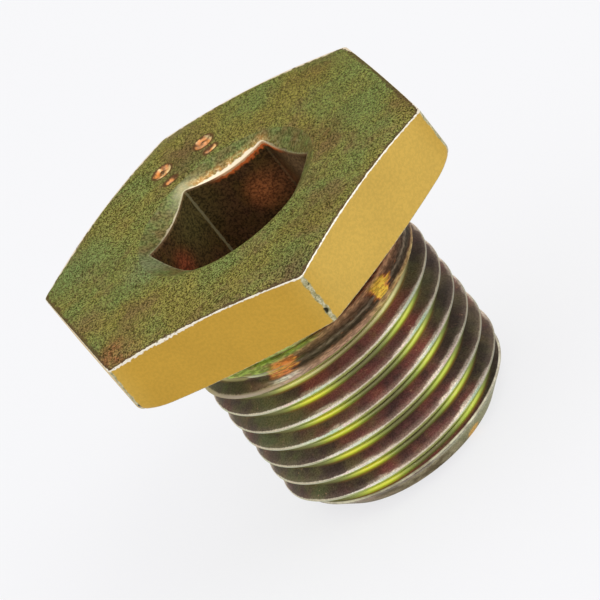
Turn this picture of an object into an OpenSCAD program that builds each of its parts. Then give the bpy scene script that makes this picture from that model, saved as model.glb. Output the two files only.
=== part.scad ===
// Hexagon-head screw plug with a hexagon socket, in millimetres.
// +Z runs out of the head, and the origin is the centre of the head's bearing face.

/* [Head] */
// Width of the head across its flats
head_af = 24; // [22:0.5:27]
// Height of the head, from the bearing face to the flat of the top
head_h = 4.4; // [4:0.1:8]
// Diameter of the round stock, which trims the six corners
blank_d = 27.56; // [25:0.02:27.68]
// Width of the chamfer on the top, measured inwards from the round stock
top_chamfer_w = 1.98; // [1:0.02:3]
// Angle of the top chamfer against the top face
top_chamfer_angle = 13; // [8:1:30]
// Width of the bevel on the underside, measured inwards from the round stock
under_bevel_w = 2.4; // [1.2:0.1:3.2]
// Angle of the underside bevel against the bearing face
under_bevel_angle = 8; // [4:1:15]

/* [Socket] */
// Width of the hexagon socket across its flats
socket_af = 10; // [9.8:0.1:10.2]
// Turn of the socket against the head
socket_turn = 13; // [0:1:60]
// Depth of the socket below the top face, at the middle of a flat
socket_depth = 7.4; // [5:0.1:8]
// Diameter of the countersink at the top face
countersink_d = 12.7; // [12.4:0.1:14]
// Angle of the countersink against the top face
countersink_angle = 30; // [20:1:45]
// Angle of the socket's conical floor against the top face
floor_angle = 31; // [10:1:45]

/* [Neck] */
// Diameter of the undercut below the head
neck_d = 13.8; // [13.2:0.1:14]
// Length of the undercut, from the bearing face
neck_length = 2.9; // [2:0.1:3.2]
// Radius of the fillet between the head and the undercut
neck_fillet = 0.6; // [0.3:0.1:0.8]
// Width of the step where the undercut opens out
step_w = 0.25; // [0.1:0.05:0.4]
// Diameter at the lower edge of the short cone below the step
cone_d = 15.1; // [14.6:0.1:15.4]
// Height of that cone
cone_h = 0.35; // [0.2:0.05:0.6]
// Height over which the shank then reaches the full thread
lead_in_h = 0.7; // [0.3:0.1:1]

/* [Thread] */
// Major diameter of the thread
thread_d = 16; // [15.8:0.1:16]
// Pitch of the thread
pitch = 1.5; // [1:0.25:2]
// Length of the shank, from the bearing face to the tip
shank_length = 15.5; // [12:0.5:30]
// Width and height of the 45 degree chamfer at the tip
tip_chamfer = 1.8; // [1:0.1:2.5]
// Height of a crest's middle on the +X side
crest_z = -5.27; // [-6:0.01:-4.5]
// Height of the groove's middle where it runs out below the head
groove_end_z = -3.34; // [-4:0.02:-3]
// Sweep over which the groove runs out, in degrees
run_out_angle = 40; // [20:5:90]

/* [Smoothness] */
// Straight steps in one turn of the thread
turn_steps = 48; // [24:4:60]

/* [Hidden] */

// Round faces, which stay true circles
$fn = 96;
// Overlap that keeps cut and joined faces apart
lap = 1;

head_circle_d = head_af / cos(30);
socket_circle_d = socket_af / cos(30);

blank_r = blank_d / 2;
under_edge_z = under_bevel_w * tan(under_bevel_angle);
top_edge_z = head_h - top_chamfer_w * tan(top_chamfer_angle);

// Radii and heights of the shank's outline
neck_r = neck_d / 2;
step_r = neck_r + step_w;
cone_r = cone_d / 2;
thread_r = thread_d / 2;
tip_r = thread_r - tip_chamfer;
neck_end_z = -neck_length;
cone_end_z = neck_end_z - cone_h;
full_z = cone_end_z - lead_in_h;
chamfer_z = tip_chamfer - shank_length;
tip_z = -shank_length;

// The thread has 60 degree flanks, a crest of an eighth of the pitch and a slightly wider root.
flank_slope = tan(30);
crest_w = pitch / 8;
root_w = pitch / 6;
flank_h = (pitch - crest_w - root_w) / 2;
groove_depth = flank_h / flank_slope;

// Rows of points that run round the thread, four in each pitch: a crest's two edges, a root's two edges
row_z = [-crest_w / 2, crest_w / 2, crest_w / 2 + flank_h, pitch - crest_w / 2 - flank_h];
row_kinds = len(row_z);
lowest_turn = floor((tip_z - crest_z) / pitch) - 2;
rows = row_kinds * (ceil((cone_end_z - crest_z) / pitch) + 2 - lowest_turn);

function is_root(row) = row % row_kinds > 1;
function row_start_z(row) =
    crest_z + pitch * (lowest_turn + floor(row / row_kinds)) + row_z[row % row_kinds];
function climb(step) = pitch * step / turn_steps;

// How full the groove is where its middle is at a height
function fullness(z) = max(0, min(1, (groove_end_z - z) * 360 / pitch / run_out_angle));
function groove_z(step, row) =
    row_start_z(row) + climb(step) - row_z[row % row_kinds] + pitch / 2;
function cut_depth(step, row) =
    is_root(row) ? groove_depth * fullness(groove_z(step, row)) : 0;

// Radius of the plain shank, before the thread is cut
function shank_r(z) =
    z < chamfer_z ? thread_r - (chamfer_z - z)
    : z < full_z ? thread_r
    : thread_r - (z - full_z) / lead_in_h * (thread_r - cone_r);

// Share of a flank's depth that the chamfer at the tip may cut back, so that the flank keeps some width
most_cut_back = 0.95;
// How far a crest's edge is cut back along its flank by that chamfer
function cut_back(z, row) =
    is_root(row) ? 0
    : min(
        most_cut_back * groove_depth,
        max(0, chamfer_z - z) / (1 + (row % row_kinds == 1 ? flank_slope : -flank_slope))
    );

// Height and radius of a point of the thread
function thread_point(step, row) =
    let (
        edge_z = row_start_z(row) + climb(step),
        back = cut_back(edge_z, row),
        z = edge_z + back * (row % row_kinds == 1 ? flank_slope : -flank_slope)
    )
    [z, min(thread_r - back - cut_depth(step, row), shank_r(z))];

function at_height(p, q, z) = p[1] + (q[1] - p[1]) * (z - p[0]) / (q[0] - p[0]);

// The points of each step, and the rows where the tip's face and the cone cut them off
grid = [for (step = [0 : turn_steps - 1]) [for (row = [0 : rows - 1]) thread_point(step, row)]];
tip_rows = [for (column = grid) len([for (p = column) if (p[0] <= tip_z) p]) - 1];
top_rows = [for (column = grid) len([for (p = column) if (p[0] < cone_end_z) p])];

function kept_row(step, row) = min(max(row, tip_rows[step]), top_rows[step]);
function kept_point(step, row) =
    let (p = grid[step][row])
    row <= tip_rows[step] ? [tip_z, tip_r]
    : row >= top_rows[step] ? [cone_end_z, at_height(grid[step][row - 1], p, cone_end_z)]
    : p;
function around(step, p) =
    let (angle = 360 * step / turn_steps)
    [p[1] * cos(angle), p[1] * sin(angle), p[0]];

// Number of a point of the thread: one turn on, a row becomes the row one pitch above
function point_id(step, row) =
    step < turn_steps
    ? step * rows + kept_row(step, row)
    : point_id(step - turn_steps, row + row_kinds);

// The threaded length as one solid, from the tip up to the step below the neck
module threaded_shank() {
    thread_points = [
        for (step = [0 : turn_steps - 1], row = [0 : rows - 1]) around(step, kept_point(step, row))
    ];
    step_points = [for (step = [0 : turn_steps - 1]) around(step, [neck_end_z, step_r])];
    ring = len(thread_points);
    skin = [
        for (step = [0 : turn_steps - 1], row = [0 : rows - row_kinds - 1])
            let (
                a = point_id(step, row),
                b = point_id(step + 1, row),
                c = point_id(step + 1, row + 1),
                d = point_id(step, row + 1)
            )
            each [if (b != c) [a, c, b], if (a != d) [a, d, c]]
    ];
    cone = [
        for (step = [0 : turn_steps - 1])
            let (
                a = point_id(step, rows - row_kinds),
                b = point_id(step + 1, rows - row_kinds),
                c = ring + (step + 1) % turn_steps,
                d = ring + step
            )
            each [[a, c, b], [a, d, c]]
    ];
    top = [[for (step = [turn_steps - 1 : -1 : 0]) ring + step]];
    tip = [[for (step = [0 : turn_steps - 1]) point_id(step, 0)]];
    polyhedron(
        points = concat(thread_points, step_points),
        faces = concat(skin, cone, top, tip),
        convexity = 10
    );
}

// The undercut below the head, with a fillet, which reaches down into the threaded length
module neck() {
    fillet_steps = 8;
    rotate_extrude()
        polygon(concat(
            [[0, lap], [neck_r + neck_fillet, lap]],
            [
                for (i = [0 : fillet_steps])
                    let (a = 90 * i / fillet_steps)
                    [
                        neck_r + neck_fillet * (1 - sin(a)),
                        -neck_fillet * (1 - cos(a))
                    ]
            ],
            [[neck_r, neck_end_z - lap], [0, neck_end_z - lap]]
        ));
}

// The turned outline of the head, which trims the hexagon's corners
module head_blank() {
    rotate_extrude()
        polygon([
            [0, 0],
            [blank_r - under_bevel_w, 0],
            [blank_r, under_edge_z],
            [blank_r, top_edge_z],
            [blank_r - top_chamfer_w, head_h],
            [0, head_h]
        ]);
}

module head() {
    intersection() {
        translate([0, 0, -lap])
            cylinder(h = head_h + 2 * lap, d = head_circle_d, $fn = 6);
        head_blank();
    }
}

module socket() {
    // Six flats that end on a conical floor
    point_z = head_h - socket_depth - socket_af / 2 * tan(floor_angle);
    floor_r = socket_circle_d / 2 + lap;
    intersection() {
        rotate([0, 0, socket_turn])
            translate([0, 0, point_z - lap])
            cylinder(h = head_h - point_z + 2 * lap, d = socket_circle_d, $fn = 6);
        rotate_extrude()
            polygon([
                [0, point_z],
                [floor_r, point_z + floor_r * tan(floor_angle)],
                [floor_r, head_h + 2 * lap],
                [0, head_h + 2 * lap]
            ]);
    }
    // The countersink at the mouth
    mouth_r = countersink_d / 2;
    rotate_extrude()
        polygon([
            [0, head_h + lap],
            [mouth_r + lap / tan(countersink_angle), head_h + lap],
            [0, head_h - mouth_r * tan(countersink_angle)]
        ]);
}

module drain_plug() {
    color("goldenrod")
        difference() {
            union() {
                head();
                neck();
                threaded_shank();
            }
            socket();
        }
}

drain_plug();
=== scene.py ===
"""A passivated screw plug with a hexagon head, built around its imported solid.

The head and the neck are one swept outline. The threaded shank comes from Geometry Nodes.
Lengths are metres in the frame of the solid: +Z runs out of the head, from the bearing face.
"""

import math
from functools import partialmethod
from types import SimpleNamespace

import bmesh
import bpy
import numpy as np
from bpy.props import FloatProperty, FloatVectorProperty, IntProperty, PointerProperty
from mathutils import Matrix, Vector


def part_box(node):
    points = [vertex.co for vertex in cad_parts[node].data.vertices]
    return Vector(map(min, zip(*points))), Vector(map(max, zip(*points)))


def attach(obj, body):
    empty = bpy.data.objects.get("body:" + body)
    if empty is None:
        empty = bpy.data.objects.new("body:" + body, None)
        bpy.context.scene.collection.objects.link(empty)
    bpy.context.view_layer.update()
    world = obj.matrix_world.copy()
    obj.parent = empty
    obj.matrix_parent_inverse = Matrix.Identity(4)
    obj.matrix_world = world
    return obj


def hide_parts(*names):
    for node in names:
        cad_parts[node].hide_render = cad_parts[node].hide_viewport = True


bl_info = {
    "name": "Hexagon Screw Plug",
    "version": (1, 0, 0),
    "blender": (4, 5, 0),
    "location": "View3D > Sidebar > Screw Plug",
    "description": "Builds a passivated screw plug with a hexagon head, a key socket and a thread",
    "category": "Object",
}

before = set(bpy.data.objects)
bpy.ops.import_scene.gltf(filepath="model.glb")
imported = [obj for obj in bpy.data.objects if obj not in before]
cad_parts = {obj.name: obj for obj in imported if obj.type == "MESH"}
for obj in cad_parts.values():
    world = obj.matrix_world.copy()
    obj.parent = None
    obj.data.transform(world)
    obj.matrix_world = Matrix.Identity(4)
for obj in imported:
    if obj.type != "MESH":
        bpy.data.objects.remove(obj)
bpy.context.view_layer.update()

NODE = "drain_plug"
BODY = "root"
MM = 0.001
SIDES = 6
SECTOR = 360 / SIDES
LOWEST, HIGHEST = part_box(NODE)
SPANS = HIGHEST - LOWEST
TOP_MM = HIGHEST.z / MM


def length(name, default_mm, description):
    """A length property, whose default is given in millimetres."""
    return FloatProperty(
        name=name, description=description, default=default_mm * MM,
        subtype="DISTANCE", unit="LENGTH", precision=5,
    )


def angle(name, default_deg, description):
    """An angle property, whose default is given in degrees."""
    return FloatProperty(
        name=name, description=description, default=math.radians(default_deg),
        subtype="ANGLE", unit="ROTATION",
    )


def colour(name, default, description):
    """A linear colour property."""
    return FloatVectorProperty(
        name=name, description=description, default=default, subtype="COLOR", size=3, min=0, max=1
    )


class PlugHeadSizes(bpy.types.PropertyGroup):
    """Sizes of the head, its socket and the neck."""

    flats: length("Across flats", SPANS.y / MM, "Width of the hexagon head across its flats")
    stock: length("Stock", SPANS.x / MM, "Diameter of the round stock, which trims the corners")
    height: length("Height", TOP_MM, "Height of the head above its bearing face")
    top_chamfer: length("Top chamfer", 1.98, "Width of the chamfer on the top, inwards")
    top_chamfer_angle: angle("Top chamfer angle", 13, "Slope of that chamfer")
    under_bevel: length("Under bevel", 2.4, "Width of the bevel on the underside")
    under_bevel_angle: angle("Under bevel angle", 8, "Slope of that bevel")
    socket_flats: length("Socket flats", 10, "Width of the hexagon socket across its flats")
    socket_turn: angle("Socket turn", 13, "Turn of the socket against the head")
    socket_depth: length("Socket depth", 7.4, "Depth of the socket at the middle of a flat")
    mouth: length("Countersink", 12.7, "Diameter of the countersink at the top face")
    mouth_angle: angle("Countersink angle", 30, "Slope of the countersink")
    floor_angle: angle("Floor angle", 31, "Slope of the socket's conical floor")
    neck: length("Neck", 13.8, "Diameter of the undercut below the head")
    neck_length: length("Neck length", 2.9, "Length of the undercut")
    neck_fillet: length("Neck fillet", 0.6, "Size of the fillet below the head")
    spigot: length("Spigot", 12.6, "Diameter of the neck's foot, which sits in the shank")
    spigot_depth: length("Spigot depth", 7.0, "Depth of that foot below the bearing face")
    edge: length("Edge softness", 0.06, "How far each outer edge is rounded back")
    corner_round: length("Corner rounding", 0.95, "Rounding at the foot of every second corner")
    corner_reach: length("Corner reach", 1.8, "Distance over which that rounding fades")


class PlugThreadSizes(bpy.types.PropertyGroup):
    """Sizes of the threaded shank."""

    diameter: length("Diameter", 16.14, "Major diameter of the thread")
    pitch: length("Pitch", 1.5, "Pitch of the thread")
    crest: length("Crest width", 0.1875, "Width of the flat of a crest")
    root: length("Root width", 0.25, "Width of the flat of a root")
    flank_angle: angle("Flank angle", 30, "Slope of a flank")
    crest_height: length("Crest height", -5.27, "Height of a crest's middle on the +X side")
    groove_end: length("Groove end", -3.34, "Height of the groove's middle where it runs out")
    run_out: angle("Run-out", 40, "Sweep over which the groove runs out")
    tip: length("Tip", LOWEST.z / MM, "Height of the tip")
    tip_chamfer: length("Tip chamfer", 1.87, "Width of the chamfer at the tip")
    shoulder: length("Shoulder", 14.3, "Diameter of the step where the neck ends")
    cone: length("Cone", 15.1, "Diameter at the lower edge of the short cone")
    cone_height: length("Cone height", 0.35, "Height of that cone")
    lead_in: length("Lead-in", 0.7, "Height over which the shank reaches the full thread")
    softness: length("Softness", 0.05, "Rounding of the crests and roots")
    steps: IntProperty(name="Steps", description="Straight steps in one turn", default=160, min=24)
    rows: IntProperty(name="Rows", description="Rows of points in one pitch", default=24, min=8)


class PlugColours(bpy.types.PropertyGroup):
    """Linear colours of the passivation film."""

    top_green: colour("Top green", (0.185, 0.235, 0.075), "Green of the top face")
    top_olive: colour("Top olive", (0.245, 0.22, 0.06), "Yellow olive of the top face")
    top_brown: colour("Top brown", (0.19, 0.115, 0.065), "Brown patches of the top face")
    # The two golds are lit and shaded copies of one gold: every second flat is painted lighter, as
    # painted light.
    gold: colour("Gold", (0.585, 0.35, 0.052), "Deeper gold of every second spanner flat")
    pale_gold: colour("Pale gold", (0.68, 0.45, 0.095), "Paler gold of the others")
    # Maroon is partly painted shade: the upper flanks darkened as if shaded inside the groove.
    maroon: colour("Maroon", (0.175, 0.062, 0.06), "Dark red of the flanks")
    umber: colour("Umber", (0.135, 0.105, 0.062), "Greyish brown of the flanks")
    moss: colour("Moss", (0.31, 0.33, 0.105), "Dark green of the lower flanks")
    copper: colour("Copper", (0.95, 0.30, 0.09), "Orange of the neck's glints")
    amber: colour("Amber", (1.0, 0.68, 0.09), "Yellow orange of the neck's glints")
    # The next colour is painted light: a pale green band of reflected light on the neck below the
    # head.
    strip: colour("Strip", (0.44, 0.54, 0.15), "Pale green of the neck below the head")
    # The next two colours are painted reflections in the roots: yellow streaks and the yellow
    # green about them.
    lemon: colour("Lemon", (1.0, 0.96, 0.10), "Yellow streaks of the roots")
    lime: colour("Lime", (0.50, 0.60, 0.14), "Yellow green about those streaks")
    # The next colour is pale bare metal on edges and also a painted highlight on the crests and on
    # the line about the top. The one after it is a weaker painted highlight of the crests.
    worn: colour("Worn", (0.96, 0.90, 0.76), "Bare pale metal on worn edges")
    blush: colour("Blush", (0.70, 0.62, 0.45), "Pinkish tan of the crests between the streaks")


class PlugStudio(bpy.types.PropertyGroup):
    """Camera, lights and floor."""

    bearing: angle("Bearing", 297.3, "Bearing of the camera round the plug, from +X")
    elevation: angle("Elevation", 25.99, "Height of the camera above the head's plane")
    roll: angle("Roll", -38.9, "Turn of the camera about its own line of sight")
    distance: length("Distance", 345.1, "Distance from the camera to the point it aims at")
    lens: FloatProperty(
        name="Lens", description="Focal length", default=343.75, subtype="DISTANCE_CAMERA"
    )
    aim: FloatVectorProperty(
        name="Aim", description="Point at the middle of the picture",
        default=(0.498 * MM, -1.473 * MM, -3.154 * MM), size=3,
        subtype="TRANSLATION", unit="LENGTH",
    )
    floor: colour("Floor", (0.922, 0.922, 0.939), "Colour of the floor and of the backdrop")


FLOAT, COLOUR, VECTOR = "NodeSocketFloat", "NodeSocketColor", "NodeSocketVector"
MATERIAL, GEOMETRY = "NodeSocketMaterial", "NodeSocketGeometry"
KINDS = {float: FLOAT, int: "NodeSocketInt"}
GROUPS = {}


class Graph:
    """Adds nodes to a tree, so that a formula reads as one line."""

    def __init__(self, tree):
        self.tree = tree

    def put(self, socket, value):
        """Links a socket, or gives it a value."""
        if isinstance(value, bpy.types.NodeSocket):
            self.tree.links.new(value, socket)
            return
        if hasattr(value, "__len__") and not isinstance(value, str):
            value = tuple(value)
            if len(value) == 3 and len(socket.default_value) == 4:
                value += (1.0,)
        socket.default_value = value

    def node(self, kind, inputs=None, **settings):
        """A node with its settings, and its inputs by name or number."""
        made = self.tree.nodes.new(kind)
        for name, value in settings.items():
            setattr(made, name, value)
        for key, value in (inputs or {}).items():
            self.put(made.inputs[key], value)
        return made

    def math(self, operation, *values, clamp=False):
        """The result of one step of arithmetic."""
        inputs = dict(enumerate(values))
        return self.node("ShaderNodeMath", inputs, operation=operation, use_clamp=clamp).outputs[0]

    add = partialmethod(math, "ADD")
    sub = partialmethod(math, "SUBTRACT")
    div = partialmethod(math, "DIVIDE")
    least = partialmethod(math, "MINIMUM")
    most = partialmethod(math, "MAXIMUM")
    size = partialmethod(math, "ABSOLUTE")
    floor = partialmethod(math, "FLOOR")
    cos = partialmethod(math, "COSINE")
    boost = partialmethod(math, "MULTIPLY", clamp=True)

    def mul(self, first, *others):
        for value in others:
            first = self.math("MULTIPLY", first, value)
        return first

    def swing(self, noise, amount):
        """Noise made to swing about nought."""
        return self.mul(self.sub(noise, 0.5), amount)

    def fade(self, value, start, end, low=0.0, high=1.0):
        """A smooth change from low to high as the value goes from start to end."""
        ends = {"Value": value, "From Min": start, "From Max": end, "To Min": low, "To Max": high}
        made = self.node("ShaderNodeMapRange", ends, interpolation_type="SMOOTHSTEP")
        return made.outputs["Result"]

    def span(self, mask, low, high):
        """A smooth change from low to high as a mask goes from nought to one."""
        return self.fade(mask, 0.0, 1.0, low, high)

    def within(self, value, start, end):
        """A mask that grows as a length goes from start to end, which are in millimetres."""
        return self.fade(value, start * MM, end * MM)

    def mix(self, share, a, b, blend="MIX"):
        """Two colours mixed."""
        made = self.node("ShaderNodeMix", {"Factor": share}, data_type="RGBA", blend_type=blend)
        for socket, tone in zip([s for s in made.inputs if s.type == "RGBA"], (a, b)):
            self.put(socket, tone)
        return next(s for s in made.outputs if s.type == "RGBA")

    def lay(self, under, over, *masks):
        """A colour laid over another one, by the product of some masks."""
        return self.mix(self.mul(*masks), under, over)

    def shaded(self, tone, value, low, high):
        """A colour made darker or lighter by a value from nought to one."""
        shade = self.span(value, low, high)
        grey = self.node("ShaderNodeCombineColor", {0: shade, 1: shade, 2: shade}).outputs[0]
        return self.mix(1.0, tone, grey, "MULTIPLY")

    def ramp(self, value, stops):
        """A colour read off a scale of places and colours."""
        made = self.node("ShaderNodeValToRGB", {"Fac": value})
        while len(made.color_ramp.elements) < len(stops):
            made.color_ramp.elements.new(0.5)
        for item, (place, tone) in zip(made.color_ramp.elements, stops):
            item.position, item.color = place, (*tone, 1.0)
        return made.outputs["Color"]

    def attribute(self, name):
        """A number kept on the mesh."""
        return self.node("ShaderNodeAttribute", attribute_name=name).outputs["Fac"]

    def place(self):
        """The point on the piece, in metres."""
        return self.node("ShaderNodeTexCoord").outputs["Object"]

    def axes(self, vector):
        return self.node("ShaderNodeSeparateXYZ", {"Vector": vector}).outputs

    def vector(self, operation, a, b):
        """The outputs of one step of vector arithmetic."""
        return self.node("ShaderNodeVectorMath", {0: a, 1: b}, operation=operation).outputs

    def bearing(self, turn):
        """Bearing of the point round the plug, past a turn in degrees."""
        axes = self.axes(self.place())
        return self.sub(self.math("ARCTAN2", axes["Y"], axes["X"]), self.math("RADIANS", turn))

    def towards(self, bearing, start, end):
        """How far a point lies towards a bearing, in degrees, as a mask between two lengths."""
        way = (math.cos(math.radians(bearing)), math.sin(math.radians(bearing)), 0.0)
        return self.within(self.vector("DOT_PRODUCT", self.place(), way)["Value"], start, end)

    def noise(self, scale, detail=2.0, seed=None, roughness=0.5, squash=1.0):
        """Noise, in four dimensions if it has a seed. It can be squashed along the axis."""
        place = self.vector("MULTIPLY", self.place(), (1.0, 1.0, squash))[0]
        inputs = {"Vector": place, "Scale": scale, "Detail": detail, "Roughness": roughness}
        if seed is None:
            return self.node("ShaderNodeTexNoise", inputs).outputs["Fac"]
        inputs["W"] = seed
        return self.node("ShaderNodeTexNoise", inputs, noise_dimensions="4D").outputs["Fac"]


class Film(Graph):
    """The graph of a material with one shader, whose even values are set directly."""

    def __init__(self, name, **values):
        self.material = bpy.data.materials.new(name)
        self.material.use_nodes = True
        super().__init__(self.material.node_tree)
        self.shader = self.tree.nodes["Principled BSDF"]
        for key, value in values.items():
            self.shader.inputs[key.replace("_", " ")].default_value = value

    def feed(self, name, value):
        self.put(self.shader.inputs[name], value)

    def done(self, tone, height, depth):
        """The material with its colour, and with a bump of a depth in millimetres."""
        self.feed("Base Color", tone)
        values = {"Height": height, "Distance": depth * MM, "Strength": 1.0}
        self.feed("Normal", self.node("ShaderNodeBump", values).outputs["Normal"])
        return self.material


def new_group(name, inputs, outputs, kind="ShaderNodeTree"):
    """A node group and its graph. Each input has a default, or names its kind of socket."""
    tree = bpy.data.node_groups.new(name, kind)
    for key, default in inputs.items():
        socket_kind = KINDS.get(type(default), default)
        socket = tree.interface.new_socket(name=key, in_out="INPUT", socket_type=socket_kind)
        if socket_kind != default:
            socket.default_value = default
    for key, socket_kind in outputs.items():
        tree.interface.new_socket(name=key, in_out="OUTPUT", socket_type=socket_kind)
    graph = Graph(tree)
    source = graph.node("NodeGroupInput")
    sink = graph.node("NodeGroupOutput")
    return tree, graph, source.outputs, sink.inputs


def shared(title, inputs, **outputs):
    """Makes a node group of a function, which gives its outputs, and places that group."""

    def decorate(build):
        def placed(g, *values):
            if title not in GROUPS:
                GROUPS[title], inner, given, result = new_group(title, inputs, outputs)
                for socket, value in zip(result, build(inner, *given[:len(inputs)])):
                    inner.put(socket, value)
            made = g.node("ShaderNodeGroup", dict(enumerate(values)), node_tree=GROUPS[title])
            return made.outputs if len(outputs) > 1 else made.outputs[0]

        return placed

    return decorate


# The shared groups take sizes in millimetres and turns in degrees.


@shared("film patches", {"Size": 3.0, "Seed": 0.0, "Level": 0.5, "Softness": 0.1}, Mask=FLOAT)
def patches(g, size, seed, level, softness):
    """Cloudy patches of the film: a mask with soft or hard borders."""
    noise = g.noise(g.div(1 / MM, size), 4.0, seed, 0.6)
    return [g.fade(noise, g.sub(level, softness), g.add(level, softness))]


@shared("fine grain", {"Size": 0.12, "Seed": 0.0}, Grain=FLOAT, Pits=FLOAT, Warm=FLOAT)
def speckle(g, size, seed):
    """Fine grain of the plating, its pits and its warm specks."""
    scale = g.div(1 / MM, size)
    grain = g.noise(scale, 3.0, seed, 0.7)
    pits = g.noise(g.mul(scale, 0.45), 1.0, g.add(seed, 7.0))
    warm = g.noise(g.mul(scale, 0.7), 2.0, g.add(seed, 3.0))
    return [g.fade(grain, 0.36, 0.64), g.fade(pits, 0.62, 0.72), g.fade(warm, 0.45, 0.65)]


@shared(
    "ragged edge line",
    {"Distance": 0.0, "Width": 0.15, "Raggedness": 0.4, "Grain Size": 0.25, "Seed": 0.0},
    Mask=FLOAT,
)
def edge(g, distance, width, raggedness, size, seed):
    """A ragged line along an edge, from the distance to that edge in metres."""
    sway = g.swing(g.noise(g.div(1 / MM, size), 2.0, seed), g.mul(raggedness, 4.0))
    reach = g.mul(g.most(g.mul(width, g.add(1.0, sway)), 0.001), MM)
    return [g.fade(distance, g.mul(reach, 1.15), g.mul(reach, 0.7))]


@shared("film bands", {"Turn": 0.0, "Sharpness": 1.0, "Sway": 0.15}, Mask=FLOAT)
def bands(g, turn, sharpness, sway):
    """Bands of painted reflection down the plug, one opposite each flat of the head."""
    bearing = g.add(g.bearing(turn), g.swing(g.noise(1 / (2.2 * MM)), sway))
    wave = g.add(g.mul(g.cos(g.mul(bearing, float(SIDES))), 0.5), 0.5)
    return [g.math("POWER", wave, sharpness)]


@shared("film sectors", {"Turn": 0.0, "Low": -0.35, "High": 0.35, "Sway": 0.0}, Mask=FLOAT)
def sectors(g, turn, low, high, sway):
    """Three sectors round the plug, with soft and uneven borders, that place painted light and
    shade.
    """
    wave = g.cos(g.mul(g.bearing(turn), SIDES / 2))
    return [g.fade(g.add(wave, g.swing(g.noise(1 / (1.6 * MM), 3.0), sway)), low, high)]


@shared("soft spot", {"Centre": VECTOR, "Radius": 1.0}, Mask=FLOAT)
def spot(g, centre, radius):
    """A soft spot round a point."""
    centre = g.vector("MULTIPLY", centre, (MM, MM, MM))[0]
    gap = g.vector("DISTANCE", g.place(), centre)["Value"]
    return [g.fade(gap, g.mul(radius, MM), 0.0)]


# Rings of film about the neck and the first land, with painted reflection and shade in them:
# height in millimetres and colour
NECK_RINGS = (
    (-4.20, (0.33, 0.21, 0.13)),
    (-3.85, (0.46, 0.27, 0.17)),
    (-3.72, (0.075, 0.05, 0.03)),
    (-3.56, (0.07, 0.055, 0.035)),
    (-3.47, (0.24, 0.19, 0.13)),
    (-3.36, (0.08, 0.055, 0.035)),
    (-3.16, (0.22, 0.13, 0.08)),
    (-3.02, (0.58, 0.36, 0.20)),
    (-2.85, (0.30, 0.15, 0.09)),
    (-2.60, (0.34, 0.16, 0.10)),
)


@shared(
    "neck rings", {"Copper": COLOUR, "Amber": COLOUR, "Green": COLOUR}, Color=COLOUR, Strip=FLOAT
)
def rings(g, copper, orange, green):
    """Rings of film about the neck with painted reflection and shade, painted glints opposite the
    flats and a painted green band of light below the head.
    """
    height = g.add(g.axes(g.place())["Z"], g.swing(g.noise(1 / (0.7 * MM)), 0.1 * MM))
    low, high = NECK_RINGS[0][0], NECK_RINGS[-1][0]
    share = g.div(g.sub(height, low * MM), (high - low) * MM)
    tone = g.ramp(share, [((z - low) / (high - low), ring) for z, ring in NECK_RINGS])

    # Painted glints: orange and yellow ones, and pearly ones on the land below them
    amber = sectors(g, 330)
    streak = bands(g, g.span(amber, 29.0, 27.0), 9.0, 0.4)
    blotch = g.noise(1 / (0.75 * MM), 3.0, squash=5.0)
    blotches = g.fade(blotch, 0.4, 0.6)
    uneven = g.add(streak, g.swing(blotch, 1.1))
    above = g.mul(g.within(height, -3.82, -3.68), g.within(height, -2.9, -3.2))
    warm = g.lay(copper, orange, amber, 0.95)
    warm = g.lay(warm, orange, g.fade(blotch, 0.52, 0.66))
    warm = g.mix(g.fade(uneven, 0.2, 0.6), (0.72, 0.20, 0.06), warm)
    tone = g.lay(tone, warm, g.fade(uneven, 0.12, 0.5), above)
    land = g.within(g.size(g.add(height, 4.0 * MM)), 0.26, 0.12)
    pearl = g.mix(blotches, (0.62, 0.32, 0.26), (0.62, 0.48, 0.26))
    tone = g.lay(tone, pearl, streak, land, 0.6)
    glint = g.mul(streak, g.within(g.size(g.add(height, 3.9 * MM)), 0.13, 0.05))
    tone = g.lay(tone, (1.0, 0.96, 0.80), glint, g.sub(0.95, amber))
    tan = g.mul(g.within(height, -3.72, -3.84), g.towards(345, 6.6, 7.5))
    tone = g.lay(tone, g.mix(blotches, (0.38, 0.24, 0.09), (0.50, 0.38, 0.14)), tan, 0.85)

    # Painted light: the green band below the head, and its skirt on the short cone
    strip = g.mul(g.within(height, -3.05, -2.95), g.towards(250, 4.96, 6.15))
    skirt = g.mul(g.within(height, -3.29, -3.23), g.towards(235, 6.2, 6.9))
    strip = g.most(strip, skirt)
    green = g.mix(g.fade(blotch, 0.48, 0.6), green, (0.46, 0.42, 0.17))
    lines = g.fade(g.noise(1 / (0.4 * MM), squash=5.0), 0.38, 0.62)
    return [g.shaded(g.lay(tone, green, strip), lines, 0.72, 1.3), strip]


# Stains of the film on the top face: place and radius in millimetres, colour and strength
STAINS = (
    ((7.0, 2.1), 2.6, (0.17, 0.085, 0.04), 0.75),
    ((-4.1, 7.2), 3.0, (0.12, 0.06, 0.042), 0.65),
    ((6.5, -11.4), 3.0, (0.10, 0.05, 0.032), 0.7),
    ((5.2, 10.4), 2.4, (0.17, 0.095, 0.04), 0.6),
    ((12.9, 1.4), 2.2, (0.13, 0.07, 0.035), 0.6),
    ((-4.9, -2.9), 3.2, (0.17, 0.22, 0.13), 0.6),
    ((-11.3, 0.7), 4.6, (0.17, 0.25, 0.095), 0.6),
    ((-6.4, -11.0), 2.8, (0.30, 0.085, 0.045), 0.85),
    ((-9.2, -6.2), 2.2, (0.22, 0.12, 0.07), 0.5),
    ((6.8, -6.3), 3.4, (0.17, 0.14, 0.04), 0.55),
)

# Where the pale line about the top, part wear and part painted highlight, is wider or thinner:
# place, radius and width in millimetres
LINE_WIDTHS = (
    ((-3.6, -12.0), 4.6, 0.12),
    ((-10.4, -6.0), 9.0, 0.02),
    ((10.4, 6.0), 9.0, 0.02),
)


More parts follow.
